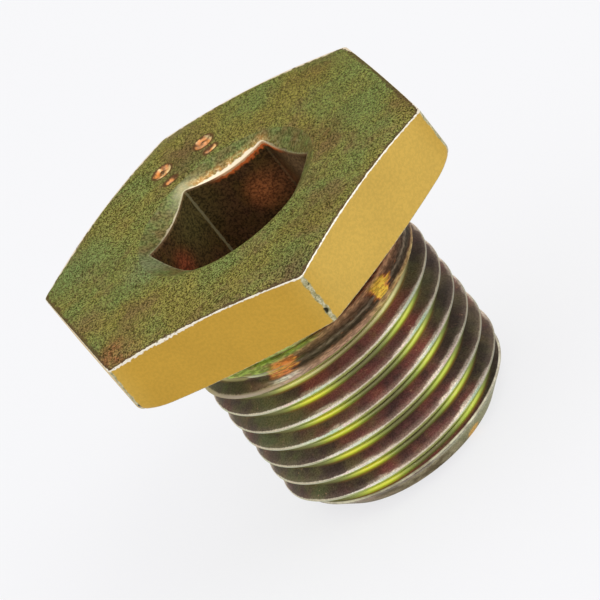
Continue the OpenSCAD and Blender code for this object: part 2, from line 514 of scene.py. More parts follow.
def rim_line(g):
    """Width of the pale line about the top, in millimetres, and how far back a point lies. The
    line is part wear and part painted highlight.
    """
    far = g.towards(90, -2.0, 4.0)
    width = g.span(far, 0.065, 0.3)
    for place, radius, local in LINE_WIDTHS:
        width = g.span(g.boost(spot(g, (*place, TOP_MM), radius), 2.0), width, local)
    return width, far


def top_material(c):
    """Olive film with green and brown patches and a fine speckle."""
    g = Film("olive film", Metallic=1.0, Specular_Tint=(0.75, 0.68, 0.45, 1.0))
    grain, pits, warm = speckle(g, 0.115)
    green = patches(g, 4.5, 3.0, 0.5, 0.14)
    brown = patches(g, 2.6, 9.0, 0.6, 0.10)
    ragged = g.span(patches(g, 0.6, 5.0, 0.5, 0.2), 0.55, 1.0)
    tone = g.mix(green, c.top_olive, c.top_green)
    tone = g.lay(tone, c.top_brown, brown, 0.6)
    for place, radius, stain, strength in STAINS:
        tone = g.lay(tone, stain, spot(g, (*place, TOP_MM), radius), ragged, strength)
    tone = g.shaded(tone, grain, 0.1, 1.95)
    tone = g.lay(tone, c.top_brown, warm, 0.35)
    rim = g.attribute("rim_gap")
    near_rim = edge(g, rim, 0.28, 0.9, 0.5)
    tone = g.lay(tone, (0.11, 0.06, 0.04), near_rim, 0.7)

    # The punched marks: a dark ring of painted shadow about each, and bright metal with painted
    # highlights within, shaded by depth
    stamp = g.attribute("stamp")
    blobs = patches(g, 0.7, 41.0, 0.5, 0.1)
    sheen = patches(g, 0.8, 47.0, 0.56, 0.08)
    metal = g.mix(blobs, (0.55, 0.30, 0.17), (0.88, 0.36, 0.10))
    metal = g.lay(metal, (0.95, 0.78, 0.40), sheen)
    metal = g.shaded(metal, stamp, 0.45, 1.15)
    tone = g.lay(tone, (0.14, 0.065, 0.035), g.fade(stamp, 0.0, 0.5, 0.0, 0.9))
    bare = g.add(stamp, g.swing(g.noise(1 / (0.4 * MM)), 1.1))
    tone = g.lay(tone, metal, g.fade(bare, 0.66, 1.0))

    # The pale line about the top: part wear and part painted highlight
    width, far = rim_line(g)
    line = edge(g, rim, width, 0.85, 0.35)
    breaks = g.sub(1.0, g.mul(patches(g, 0.3, 51.0, 0.6, 0.05), 0.75))
    tone = g.lay(tone, g.mix(far, c.worn, (0.95, 0.82, 0.66)), line, breaks)
    g.feed("Roughness", g.span(grain, 0.44, 0.56))
    return g.done(tone, g.sub(grain, pits), 0.004)


def side_material(c):
    """Gold film on the spanner flats, every second one painted lighter as painted light, with pale
    edge lines and a top line that is part wear and part painted highlight.
    """
    g = Film("gold film", Metallic=1.0)
    grain = speckle(g, 0.2, 2.0)[0]
    # Painted light: every second flat lighter, as if it faced the light
    pale = sectors(g, 330)
    cloud = patches(g, 4, 1.0, 0.5, 0.3)
    tone = g.mix(pale, c.gold, c.pale_gold)
    tone = g.shaded(tone, grain, 0.94, 1.06)
    tone = g.shaded(tone, cloud, 0.96, 1.04)
    corner_gap = g.attribute("corner_gap")
    corner = edge(g, corner_gap, 0.16, 0.7, 0.5, 4.0)
    edge_tone = g.mix(grain, (0.24, 0.25, 0.12), (0.66, 0.65, 0.46))
    tone = g.lay(tone, edge_tone, corner, 0.85)
    nick = g.fade(spot(g, (6.79, -11.97, 1.25), 0.3), 0.1, 0.5)
    nicks = g.most(patches(g, 0.35, 8.0, 0.63, 0.03), nick)
    tone = g.lay(tone, (0.03, 0.03, 0.016), nicks, g.within(corner_gap, 0.22, 0.1))
    foot = edge(g, g.attribute("foot_gap"), 0.05, 0.9, 0.25, 6.0)
    tone = g.lay(tone, edge_tone, foot, 0.6)
    # The line at the top edge: part wear and part painted highlight
    line = edge(g, g.attribute("rim_gap"), rim_line(g)[0], 0.8)
    tone = g.lay(tone, c.worn, line)
    g.feed("Roughness", g.span(grain, 0.36, 0.44))
    return g.done(tone, grain, 0.0015)


def mouth_material(c):
    """Speckled film on the countersink, with painted highlights: a pale patch on the left, and a
    warm pale band along the far side of the socket's edge.
    """
    g = Film("speckled film", Roughness=0.5, Metallic=1.0, Specular_Tint=(0.7, 0.62, 0.45, 1.0))
    grain = speckle(g, 0.16, 6.0)[0]
    gap = g.attribute("socket_gap")
    fine = patches(g, 1.1, 2.0, 0.5, 0.2)
    teal = spot(g, (-5.2, -2.6, 4.2), 2.6)
    scuffs = patches(g, 0.3, 21.0, 0.62, 0.06)
    tone = g.mix(fine, c.top_green, (0.20, 0.15, 0.06))
    tone = g.lay(tone, (0.25, 0.30, 0.165), teal, 0.7)
    tone = g.shaded(tone, grain, 0.5, 1.35)
    tone = g.lay(tone, (0.42, 0.38, 0.22), scuffs, 0.3)
    # A painted highlight on the left of the countersink
    pale = g.mul(spot(g, (-4.1, 4.3, 4.1), 2.4), g.within(gap, 1.2, 0.3))
    tone = g.lay(tone, (0.46, 0.47, 0.28), pale, g.span(fine, 0.4, 0.9))

    # The painted highlight on the far side, warm, with a pale line at the socket's edge
    far = g.boost(spot(g, (-0.9, 5.1, 3.9), 4.2), 1.8)
    near = g.within(gap, 0.95, 0.25)
    amber = g.span(patches(g, 0.45, 31.0, 0.5, 0.08), 0.35, 1.0)
    warm = g.mix(g.fade(grain, 0.6, 1.0), (0.62, 0.33, 0.10), (0.95, 0.72, 0.36))
    tone = g.lay(tone, warm, far, near, amber)
    hot = spot(g, (-0.9, 5.6, 3.9), 3.2)
    line = edge(g, gap, g.fade(hot, 0.0, 0.8, 0.12, 0.3), 0.7, 0.4)
    left = g.mul(spot(g, (-5.4, 2.2, 4.0), 3.4), 0.5)
    tone = g.lay(tone, (1.0, 0.86, 0.64), line, g.span(g.most(far, left), 0.12, 1.0))
    return g.done(tone, grain, 0.008)


# Painted glows of reflected light inside the socket: place and radius in millimetres, colour and
# strength
PAINTED_GLOWS = (
    ((0.0, 5.1, 1.2), 1.8, (0.52, 0.16, 0.05), 0.9),
    ((1.1, 5.3, 1.0), 2.6, (0.30, 0.12, 0.045), 0.6),
    ((-5.0, 0.6, 1.5), 1.5, (0.36, 0.08, 0.035), 0.85),
    ((-4.2, 3.0, 2.6), 3.4, (0.115, 0.095, 0.03), 0.9),
    ((3.8, 3.4, 2.4), 3.0, (0.27, 0.175, 0.085), 0.85),
)


def socket_material(c):
    """Film inside the socket, darkened as painted shade, green on some flats and red brown on
    others, with painted glows and painted highlights on corners and the far edge.
    """
    g = Film("dark film", Roughness=0.45, Metallic=0.2, Specular_IOR_Level=0.2)
    grain = speckle(g, 0.13, 11.0)[0]
    tone = g.mix(patches(g, 1.6, 12.0, 0.5, 0.2), (0.085, 0.05, 0.013), (0.10, 0.045, 0.02))
    for place, radius, glow, strength in PAINTED_GLOWS:
        tone = g.lay(tone, glow, spot(g, place, radius), strength)
    tone = g.shaded(tone, grain, 0.45, 1.5)
    # Painted highlights: pale lines on the corners that face the light
    corner = edge(g, g.attribute("socket_corner_gap"), 0.09, 0.5, 0.25, 3.0)
    shown = g.span(g.towards(150, 1.0, 5.0), 0.15, 0.6)
    tone = g.lay(tone, (0.36, 0.32, 0.17), corner, shown)
    # Painted highlight at the far edge of the socket: a red band and a pale line
    gap = g.attribute("socket_gap")
    side = g.boost(spot(g, (0.6, 5.2, 4.0), 3.4), 2.5)
    red, line = edge(g, gap, 0.36, 0.4), edge(g, gap, 0.15, 0.5)
    tone = g.lay(tone, (0.90, 0.20, 0.045), red, side)
    tone = g.lay(tone, (1.0, 0.62, 0.32), line, g.span(side, 0.15, 1.0))
    return g.done(tone, grain, 0.005)


def neck_material(c):
    """Rings of film on the neck, with painted reflection, shade and glints."""
    g = Film("ringed film", Roughness=0.4, Specular_IOR_Level=0.08)
    tone, strip = rings(g, c.copper, c.amber, c.strip)
    g.feed("Base Color", tone)
    g.feed("Metallic", g.span(strip, 0.85, 0.2))
    return g.material


def thread_material(c):
    """Film on the thread, with painted light: pale crests with painted highlights, dark flanks
    with painted shade, and yellow green roots of painted reflection.
    """
    g = Film(
        "thread film", Roughness=0.32, Specular_IOR_Level=0.08,
        Specular_Tint=(0.6, 0.55, 0.42, 1.0),
    )
    grain, pits, specks = speckle(g, 0.1, 14.0)
    wide, narrow = bands(g, 30, 1.3), bands(g, 30, 3.5)
    cloud = patches(g, 2.8, 17.0, 0.5, 0.12)
    glow = patches(g, 2.6, 23.0, 0.55, 0.12)
    veil = patches(g, 1.1, 27.0, 0.52, 0.12)
    west, east = g.towards(237, 5.6, 7.4), g.towards(357, 6.2, 7.8)
    cut, side = g.attribute("groove_share"), g.attribute("flank_side")
    height = g.axes(g.place())["Z"]

    # The upper flanks: dark red, brown and green as painted shade and reflection by bearing, paler
    # towards the crest as a painted highlight
    red = sectors(g, 300, -1.2, 0.5, 1.6)
    green = sectors(g, 220, -0.2, 1.3, 1.0)
    upper = g.mix(red, g.mix(green, c.umber, (0.10, 0.11, 0.05)), c.maroon)
    upper = g.lay(upper, g.mix(cloud, (0.085, 0.10, 0.04), (0.11, 0.075, 0.05)), west, 0.8)
    upper = g.lay(upper, g.mix(cloud, (0.15, 0.115, 0.05), (0.085, 0.05, 0.06)), veil, 0.5)
    upper = g.lay(upper, (0.042, 0.028, 0.028), cloud, 0.75)
    upper = g.lay(upper, (0.29, 0.07, 0.06), glow, red, 0.6)
    between = g.sub(g.sub(1.0, g.mul(west, 0.7)), g.mul(east, 0.5))
    near_crest = g.mul(g.fade(cut, 0.42, 0.03), between)
    upper = g.lay(upper, (0.50, 0.36, 0.29), near_crest, 0.34)
    fray = g.noise(1 / (0.8 * MM), 3.0, squash=4.0)
    fringe = g.add(g.swing(fray, 0.45), g.mul(wide, 0.15))
    streak = g.mul(g.fade(cut, g.add(fringe, 0.12), g.sub(fringe, 0.05)), g.fade(wide, 0.15, 0.5))
    streak = g.mul(streak, g.sub(1.0, west))
    upper = g.lay(upper, (0.74, 0.61, 0.50), streak, g.sub(0.9, g.mul(east, 0.4)))
    upper = g.shaded(upper, grain, 0.82, 1.42)
    upper = g.lay(upper, (0.60, 0.34, 0.20), g.fade(pits, 0.5, 1.0), glow, 0.6)
    upper = g.lay(upper, (0.40, 0.22, 0.05), g.fade(cut, 0.72, 0.9), wide)

    # The lower flanks: moss, painted paler on the west and east sides and deeper in the groove as
    # painted reflection
    lower = g.mix(east, g.mix(west, c.moss, (0.64, 0.64, 0.47)), (0.58, 0.56, 0.44))
    lower = g.shaded(lower, g.fade(cut, 0.1, 0.45), 1.0, 1.75)
    flank = g.mix(g.fade(side, -0.1, 0.1), g.mix(wide, lower, (0.42, 0.54, 0.10)), upper)

    # The roots: painted reflections, yellow streaks opposite the flats of the head
    lemon = g.mix(sectors(g, 270, -0.35, 0.35, 1.5), (0.86, 0.90, 0.16), c.lemon)
    root = g.mix(wide, (0.22, 0.21, 0.09), g.mix(veil, c.lime, (0.34, 0.52, 0.10)))
    root = g.lay(root, lemon, narrow)
    root = g.lay(root, (0.55, 0.72, 0.10), narrow, cloud, 0.5)
    first = g.mix(wide, (0.34, 0.30, 0.13), (0.85, 0.78, 0.36))
    root = g.lay(root, first, g.attribute("first_groove"))
    root_mask = g.fade(cut, 0.85, 0.95)
    tone = g.lay(flank, root, root_mask)

    # The crests: painted highlights, palest in the streaks, with a broad one at the top of the
    # west side
    crest = g.mix(wide, c.blush, g.mix(veil, c.worn, (0.96, 0.72, 0.62)))
    crest = g.lay(crest, (0.62, 0.78, 0.55), glow, wide)
    crest = g.shaded(crest, grain, 0.84, 1.12)
    first_crest = g.mul(west, g.within(height, -4.75, -4.6))
    crest = g.lay(crest, g.mix(wide, (0.42, 0.34, 0.26), (0.46, 0.40, 0.20)), first_crest, 0.85)
    uneven = g.add(g.swing(specks, 0.03), g.mul(g.sub(wide, g.add(0.5, cloud)), 0.045))
    uneven = g.add(uneven, g.mul(first_crest, 0.11))
    crest_mask = g.fade(g.size(g.sub(side, 0.055)), g.add(0.14, uneven), g.add(0.065, uneven))
    tone = g.lay(tone, crest, crest_mask)
    # Painted shade: the east side of the shank darker
    tone = g.shaded(tone, east, 1.0, 0.62)

    # The plain land and the cone carry the neck's rings, and a painted highlight: a pale line at
    # the step between them
    land = g.most(g.attribute("land_share"), g.within(height, -3.4, -3.26))
    tone = g.lay(tone, rings(g, c.copper, c.amber, c.strip)[0], land)
    step = g.within(g.size(g.add(height, 3.3 * MM)), 0.05, 0.015)
    tone = g.lay(tone, (0.50, 0.50, 0.36), step, west, 0.7)

    # The chamfer at the tip: scraped metal, and a pale lip above it
    tip_gap = g.attribute("tip_gap")
    scraped = patches(g, 0.9, 33.0, 0.52, 0.1)
    face = g.mix(glow, (0.13, 0.10, 0.07), (0.24, 0.15, 0.10))
    face = g.lay(face, g.mix(cloud, (0.36, 0.32, 0.22), (0.40, 0.29, 0.22)), scraped)
    face = g.lay(face, (0.42, 0.46, 0.28), g.towards(345, 4.8, 6.6), 0.7)
    orange = g.fade(spot(g, (5.3, -3.7, -15.2), 0.9), 0.15, 0.6)
    face = g.lay(face, (0.85, 0.50, 0.13), orange)
    face = g.shaded(face, grain, 0.6, 1.35)
    tone = g.mix(g.within(tip_gap, 0.0, 0.05), face, tone)
    lip = g.within(g.size(g.sub(tip_gap, 0.12 * MM)), 0.13, 0.06)
    lip_tone = g.mix(scraped, (0.50, 0.44, 0.34), (0.82, 0.77, 0.60))
    tone = g.lay(tone, lip_tone, lip, g.sub(1.0, root_mask))

    shine = g.mul(g.most(crest_mask, root_mask), g.sub(1.0, land))
    g.feed("Metallic", g.span(shine, 0.12, 0.85))
    return g.done(tone, grain, 0.003)


FLOOR, FLATS, MOUTH, TOP, CHAMFER, SIDE, BEVEL, BEARING, NECK = range(9)
MATERIAL_OF = {FLOOR: 0, FLATS: 0, MOUTH: 1, TOP: 2, CHAMFER: 2, SIDE: 3, BEVEL: 3}
NECK_SLOT = 4

ROUNDING_STEPS = 6
# Most of a segment that a corner's rounding takes, and most that the guard rings then take
CUT_SHARE, GUARD_SHARE = 0.4, 0.45
# Distances of the guard rings from each end of a segment
GUARDS = np.array([0.06, 0.14, 0.26, 0.45, 0.75, 1.1]) * MM
# The greatest distance that is kept on the mesh
FAR = 2.0 * MM
TOP_RINGS = 27


def soft_least(a, b, width):
    """The smaller of two lengths, with the change from one to the other rounded."""
    share = np.clip(0.5 + 0.5 * (b - a) / width, 0, 1)
    return b * (1 - share) + a * share - width * share * (1 - share)


def hexagon(bearing, flats, turn, most, width):
    """Radius of a hexagon with rounded corners, and the distance from the nearest corner."""
    off = (np.degrees(bearing - turn) % SECTOR) - SECTOR / 2
    radius = soft_least(flats / 2 / np.cos(np.radians(off)), np.full_like(off, most), width)
    gap = radius * np.sin(np.radians(SECTOR / 2 - np.abs(off)))
    return radius, gap


def sweep_bearings(turns):
    """Bearings for a sweep: even steps, and close ones about the corners of each hexagon."""
    even, least_step = np.arange(0, 360, 2), 0.05
    near = np.array([0, 0.12, 0.25, 0.38, 0.5, 0.62, 0.8, 1.05, 1.4, 1.9, 2.6])
    close = np.array([turn + SECTOR * k for turn in turns for k in range(SIDES)])
    close = np.concatenate([close[:, None] + near, close[:, None] - near], None) % 360
    every = np.unique(np.round(np.concatenate([even, close]), 3))
    keep = np.concatenate([[True], np.diff(every) > least_step])
    return np.radians(every[keep])


def rounded_outline(corners, cuts):
    """Outline points with rounded corners for each bearing.

    Each bearing has the same corners, with a radius, a height and a cut for each. Returns the
    points, the segment of each column of points, and each point's distance from the corner before
    it and from the one after it. The segments past the neck are hidden in the shank, so they have
    points only at their ends.
    """
    legs = np.diff(corners, axis=1)
    spans = np.linalg.norm(legs, axis=2)
    ways = legs / spans[..., None]
    count = corners.shape[1]
    cut = np.zeros_like(cuts)
    cut[:, 1:-1] = np.minimum(cuts[:, 1:-1], CUT_SHARE * np.minimum(spans[:, :-1], spans[:, 1:]))
    found = []
    for i in range(count - 1):
        start, end = cut[:, i], spans[:, i] - cut[:, i + 1]
        scale = np.minimum(1, GUARD_SHARE * (end - start) / GUARDS[-1])
        places = [start] if i == 0 else []
        if i <= NECK:
            places += [start + scale * d for d in GUARDS]
            inner, outer = start + scale * GUARDS[-1], end - scale * GUARDS[-1]
            rings = TOP_RINGS if i == TOP else 1
            places += [inner + (outer - inner) * k / rings for k in range(1, rings)]
            places += [end - scale * d for d in GUARDS[::-1]]
        for s in places:
            found.append((corners[:, i] + ways[:, i] * s[:, None], i, s, spans[:, i] - s))
        if i == count - 2:
            found.append((corners[:, -1], i, spans[:, i], 0 * end))
            break
        bend = corners[:, i + 1]
        first = bend - ways[:, i] * cut[:, i + 1][:, None]
        last = bend + ways[:, i + 1] * cut[:, i + 1][:, None]
        steps = ROUNDING_STEPS if i <= NECK else 1
        for k in range(steps + 1):
            t = k / steps
            point = first * (1 - t) ** 2 + 2 * bend * t * (1 - t) + last * t**2
            gap = np.abs(1 - 2 * t) * cut[:, i + 1]
            if t <= 0.5:
                found.append((point, i, spans[:, i] - gap, gap))
            else:
                found.append((point, i + 1, gap, spans[:, i + 1] - gap))
    points, segments, before, after = zip(*found)
    return np.stack(points, 1), np.array(segments), np.stack(before, 1), np.stack(after, 1)


def head_mesh(h):
    """The head, socket and neck as one closed mesh with the distances that its finish needs."""
    bearing = sweep_bearings((0, math.degrees(h.socket_turn)))
    stock_r, chamfer_r = h.stock / 2, h.stock / 2 - h.top_chamfer
    outer, corner_gap = hexagon(bearing, h.flats, 0, stock_r, 0.07 * MM)
    sharp = h.socket_flats / 2 / math.cos(math.pi / SIDES)
    inner, socket_corner_gap = hexagon(
        bearing, h.socket_flats, h.socket_turn, sharp - 0.05 * MM, 0.05 * MM
    )
    floor_rise, mouth_fall = math.tan(h.floor_angle), math.tan(h.mouth_angle)
    point_z = h.height - h.socket_depth - h.socket_flats / 2 * floor_rise
    bevel_r = stock_r - h.under_bevel
    top_z = h.height - np.maximum(0, outer - chamfer_r) * math.tan(h.top_chamfer_angle)
    low_z = np.maximum(0, outer - bevel_r) * math.tan(h.under_bevel_angle)
    near_corner = np.clip(1 - corner_gap / h.corner_reach, 0, 1) ** 2
    near_corner *= np.cos(SIDES / 2 * bearing) > 0

    # Radius and height of each corner of the outline, and how far it is rounded back
    columns = (
        (0, point_z, 0),
        (inner, point_z + inner * floor_rise, 0.15 * MM),
        (inner, h.height - (h.mouth / 2 - inner) * mouth_fall, 0.04 * MM),
        (h.mouth / 2, h.height, 0.2 * MM),
        (chamfer_r, h.height, 1.2 * MM),
        (outer, top_z, h.edge),
        (outer, low_z, h.edge + h.corner_round * near_corner),
        (np.minimum(outer - 0.05 * MM, bevel_r), 0, 0.1 * MM),
        (h.neck / 2, 0, h.neck_fillet),
        (h.neck / 2, -h.neck_length, 0.04 * MM),
        (h.spigot / 2, -h.neck_length, 0.02 * MM),
        (h.spigot / 2, -h.spigot_depth, 0.1 * MM),
        (0, -h.spigot_depth, 0),
    )
    table = np.zeros((len(bearing), len(columns), 3))
    for i, column in enumerate(columns):
        for k in range(3):
            table[:, i, k] = column[k]
    outline, segment, before, after = rounded_outline(table[..., :2], table[..., 2])

    around, along = outline.shape[:2]
    reach, turn = outline[..., 0], bearing[:, None]
    xyz = np.stack([reach * np.cos(turn), reach * np.sin(turn), outline[..., 1]], 2)
    middle = xyz[:, 1:-1].reshape(-1, 3)
    verts = np.concatenate([middle, xyz[0, :1], xyz[0, -1:]])
    bottom_id, top_id = len(middle), len(middle) + 1
    wide = along - 2
    faces, slots = [], []
    for b in range(around):
        row, after_row = b * wide, (b + 1) % around * wide
        faces.append((row, after_row, bottom_id))
        slots.append(MATERIAL_OF.get(segment[0], NECK_SLOT))
        for k in range(wide - 1):
            faces.append((row + k, row + k + 1, after_row + k + 1, after_row + k))
            slots.append(MATERIAL_OF.get(segment[k + 2], NECK_SLOT))
        faces.append((row + wide - 1, top_id, after_row + wide - 1))
        slots.append(NECK_SLOT)
    mesh = bpy.data.meshes.new("plug_head")
    mesh.from_pydata(verts.tolist(), [], faces)
    mesh.polygons.foreach_set("material_index", slots)

    def gap_from(corner):
        """Distance of each point from a corner of the outline, along the outline."""
        gap = np.where(segment == corner, before, FAR)
        return np.where(segment == corner - 1, after, gap)

    gaps = {
        "rim_gap": gap_from(SIDE), "foot_gap": gap_from(BEVEL), "socket_gap": gap_from(MOUTH),
        "corner_gap": corner_gap[:, None], "socket_corner_gap": socket_corner_gap[:, None],
    }
    for name, gap in gaps.items():
        gap = np.minimum(np.broadcast_to(gap, (around, along)), FAR)
        values = np.append(gap[:, 1:-1], [FAR, FAR]).astype(np.float32)
        mesh.attributes.new(name, "FLOAT", "POINT").data.foreach_set("value", values)
    mesh.attributes.new("stamp", "FLOAT", "POINT")
    return mesh


# Centre of each punched mark on the top face, and the way its bar lies from the ring
MARKS = (((-2.89, 8.26), (0.75, -1.25)), ((-5.82, 7.16), (0.9, -1.55)))


def punch_marks(mesh, height):
    """Sinks two plain marks into the top face: a ring and a short bar each."""
    ring_r, bar_l, line_w, depth, reach = 0.39 * MM, 0.2 * MM, 0.27 * MM, 0.13 * MM, 2.6 * MM
    ring_area, bar_area = 0.95 * MM, 0.7 * MM
    finer, spread = 2, 1.8
    made = bmesh.new()
    made.from_mesh(mesh)
    stamp = made.verts.layers.float["stamp"]
    places = [
        (Vector((x * MM, y * MM, height)), Vector((dx * MM, dy * MM, 0)))
        for (x, y), (dx, dy) in MARKS
    ]
    for _ in range(finer):
        edges = set()
        for f in made.faces:
            centre = f.calc_center_median()
            if abs(centre.z - height) < 0.3 * MM and f.normal.z > 0.9:
                for place, bar in places:
                    off = centre - place
                    if off.length < ring_area or (off - bar).length < bar_area:
                        edges.update(f.edges)
        bmesh.ops.subdivide_edges(made, edges=list(edges), cuts=1, use_grid_fill=True)
        made.normal_update()
    for v in made.verts:
        if abs(v.co.z - height) > 0.02 * MM:
            continue
        for place, bar in places:
            off = v.co - place
            if off.length > reach:
                continue
            ring = abs(off.length - ring_r)
            way = bar.normalized()
            across = Vector((-way.y, way.x, 0))
            along = off - bar
            bar_gap = math.hypot(max(0, abs(along.dot(across)) - bar_l), along.dot(way))
            gap = min(ring, bar_gap) / line_w
            v.co.z -= depth * max(0, 1 - gap**2)
            v[stamp] = max(v[stamp], 1 - (gap / spread) ** 2)
    made.to_mesh(mesh)
    made.free()


def thread_tree(sizes):
    """Geometry nodes that make the helical skin of the shank, from its tip to its shoulder."""
    inputs = {**sizes, "material": MATERIAL}
    tree, g, given, result = new_group(
        "helical thread", inputs, {"Geometry": GEOMETRY}, "GeometryNodeTree"
    )
    t = SimpleNamespace(**{name: given[name] for name in sizes})
    radius, top_r, cone_r = (g.div(size, 2.0) for size in (t.diameter, t.shoulder, t.cone))
    flank_slope = g.math("TANGENT", t.flank_angle)
    run_out_turns = g.div(t.run_out, math.tau)

    # A flat grid whose columns go round the plug, and whose rows follow the helix
    low_turn = g.floor(g.sub(g.div(g.sub(t.tip, t.crest_height), t.pitch), 1.0))
    low_z = g.add(t.crest_height, g.mul(t.pitch, low_turn))
    turns = g.math("CEIL", g.div(g.sub(t.neck_end, low_z), t.pitch))
    rows = g.add(g.mul(turns, t.rows), 1.0)
    counts = {"Vertices X": g.add(t.steps, 1), "Vertices Y": rows}
    grid = g.node("GeometryNodeMeshGrid", {"Size X": 1.0, "Size Y": 1.0, **counts})
    flat = g.axes(g.node("GeometryNodeInputPosition").outputs[0])
    around = g.add(flat["X"], 0.5)
    row_z = g.add(low_z, g.mul(g.add(flat["Y"], 0.5), g.mul(turns, t.pitch)))
    z = g.least(g.most(g.add(row_z, g.mul(t.pitch, around)), t.tip), t.neck_end)

    # Where a point lies between two crests, and how deep the groove is there
    phase = g.sub(g.div(g.sub(z, t.crest_height), t.pitch), around)
    nearest, under = g.math("ROUND", phase), g.floor(phase)
    off = g.mul(g.sub(phase, nearest), t.pitch)
    flank_h = g.sub(g.div(t.pitch, 2.0), g.mul(g.add(t.crest, t.root), 0.5))
    depth = g.div(flank_h, flank_slope)
    slope = g.div(g.sub(g.size(off), g.mul(t.crest, 0.5)), flank_slope)
    cut = g.math("SMOOTH_MIN", slope, depth, g.mul(t.softness, 4.0))
    cut = g.most(g.math("SMOOTH_MAX", cut, 0.0, t.softness), 0.0)

    def fullness(middle):
        """How full the groove is whose middle is that many pitches above the first crest."""
        middle_z = g.add(t.crest_height, g.mul(t.pitch, g.add(middle, around)))
        share = g.div(g.div(g.sub(t.groove_end, middle_z), t.pitch), run_out_turns)
        return g.least(g.most(share, 0.0), 1.0)

    here = fullness(g.add(under, 0.5))
    cut = g.mul(cut, here)

    # Where a point belongs to the plain land above the first groove, and where to that groove
    crest_foot = g.fade(off, g.mul(t.crest, -1.0), g.mul(t.crest, -0.6))
    no_groove_above = g.sub(1.0, fullness(g.add(nearest, 0.5)))
    land = g.most(g.sub(1.0, here), g.mul(no_groove_above, crest_foot))
    first = g.sub(1.0, fullness(g.add(under, 1.5)))

    # The turned outline: the chamfer at the tip, the lead-in and the short cone
    tip = g.add(g.sub(radius, t.tip_chamfer), g.sub(z, t.tip))
    lead_z = g.sub(g.sub(t.neck_end, t.cone_height), t.lead_in)
    lead = g.sub(radius, g.mul(g.div(g.sub(z, lead_z), t.lead_in), g.sub(radius, cone_r)))
    cone = g.add(top_r, g.mul(g.div(g.sub(t.neck_end, z), t.cone_height), g.sub(cone_r, top_r)))
    shank = g.math("SMOOTH_MIN", lead, radius, t.softness)
    outline = g.least(g.least(tip, cone), shank)
    reach = g.least(g.math("SMOOTH_MIN", g.sub(radius, cut), outline, t.softness), outline)
    turn = g.mul(around, math.tau)
    x, y = g.mul(reach, g.cos(turn)), g.mul(reach, g.math("SINE", turn))
    spot = g.node("ShaderNodeCombineXYZ", {"X": x, "Y": y, "Z": z})

    geometry = grid.outputs["Mesh"]

    def then(kind, inputs, **settings):
        nonlocal geometry
        geometry = g.node(kind, {"Geometry": geometry, **inputs}, **settings).outputs[0]

    stored = {
        "groove_share": g.div(g.sub(radius, reach), depth),
        "flank_side": g.div(off, g.mul(t.pitch, 0.5)),
        "land_share": land,
        "tip_gap": g.sub(tip, reach),
        "first_groove": first,
    }
    for name, value in stored.items():
        named = {"Name": name, "Value": value}
        then("GeometryNodeStoreNamedAttribute", named, data_type="FLOAT", domain="POINT")
    then("GeometryNodeSetPosition", {"Position": spot.outputs[0]})
    then("GeometryNodeMergeByDistance", {"Distance": 0.002 * MM})
    then("GeometryNodeSetShadeSmooth", {})
    then("GeometryNodeRealizeInstances", {})
    then("GeometryNodeSetMaterial", {"Material": given["material"]})
    g.put(result["Geometry"], geometry)
    return tree


def evaluated(name, tree, values):
    """The plain mesh that a node tree makes, with its inputs set by their identifiers."""
    holder = bpy.data.objects.new("maker", bpy.data.meshes.new("maker"))
    modifier = holder.modifiers.new("maker", "NODES")
    modifier.node_group = tree
    for item in tree.interface.items_tree:
        if item.item_type == "SOCKET" and item.in_out == "INPUT":
            modifier[item.identifier] = values[item.name]
    bpy.context.scene.collection.objects.link(holder)
    ready = holder.evaluated_get(bpy.context.evaluated_depsgraph_get())
    mesh = bpy.data.meshes.new_from_object(ready)
    mesh.name = name
    holder.modifiers.remove(modifier)
    bpy.data.objects.remove(holder)
    return mesh


def close_end(made, height, path):
    """Closes the open ring at a height: rings of each radius and height, then a middle point."""
    near = 0.01 * MM
    edges = [e for e in made.edges if e.is_boundary and abs(e.verts[0].co.z - height) < near]
    for radius, z in path:
        grown = bmesh.ops.extrude_edge_only(made, edges=edges)["geom"]
        edges = [e for e in grown if isinstance(e, bmesh.types.BMEdge) and e.is_boundary]
        for v in {v for e in edges for v in e.verts}:
            scale = radius / math.hypot(v.co.x, v.co.y)
            v.co = Vector((v.co.x * scale, v.co.y * scale, z))
    middle = made.verts.new((0, 0, path[-1][1]))
    for e in edges:
        made.faces.new((e.verts[0], e.verts[1], middle))


def shank_mesh(h, t, material):
    """The threaded shank as one closed mesh, with a bore that takes the neck's foot."""
    sizes = {name: getattr(t, name) for name in PlugThreadSizes.__annotations__}
    sizes["neck_end"] = -h.neck_length
    mesh = evaluated("plug_shank", thread_tree(sizes), {**sizes, "material": material})
    made = bmesh.new()
    made.from_mesh(mesh)
    bore, top_z = h.spigot / 2, -h.neck_length
    tip_r = t.diameter / 2 - t.tip_chamfer
    close_end(
        made, top_z, [(t.shoulder / 2 - 0.03 * MM, top_z), (bore, top_z), (bore, -h.spigot_depth)]
    )
    close_end(made, t.tip, [(tip_r - 0.05 * MM, t.tip), (tip_r * 0.9, t.tip)])
    bmesh.ops.recalc_face_normals(made, faces=made.faces)
    made.to_mesh(mesh)
    made.free()
    mesh.polygons.foreach_set("use_smooth", [True] * len(mesh.polygons))
    return mesh


def add_piece(name, mesh):
    """Puts a finished mesh into the scene, in place of the solid."""
    piece = bpy.data.objects.new(name, mesh)
    bpy.context.scene.collection.objects.link(piece)
    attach(piece, BODY)
    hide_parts(NODE)
    return piece


class PLUG_OT_head(bpy.types.Operator):
    """Builds the hexagon head with its socket and its neck"""

    bl_idname = "plug.head"
    bl_label = "Head and Neck"

    def execute(self, context):
        sizes, tones = context.scene.plug_head, context.scene.plug_colours
        mesh = head_mesh(sizes)
        punch_marks(mesh, sizes.height)
        for maker in (socket_material, mouth_material, top_material, side_material, neck_material):
            mesh.materials.append(maker(tones))
        mesh.polygons.foreach_set("use_smooth", [True] * len(mesh.polygons))
        add_piece("plug_head", mesh)
        return {"FINISHED"}


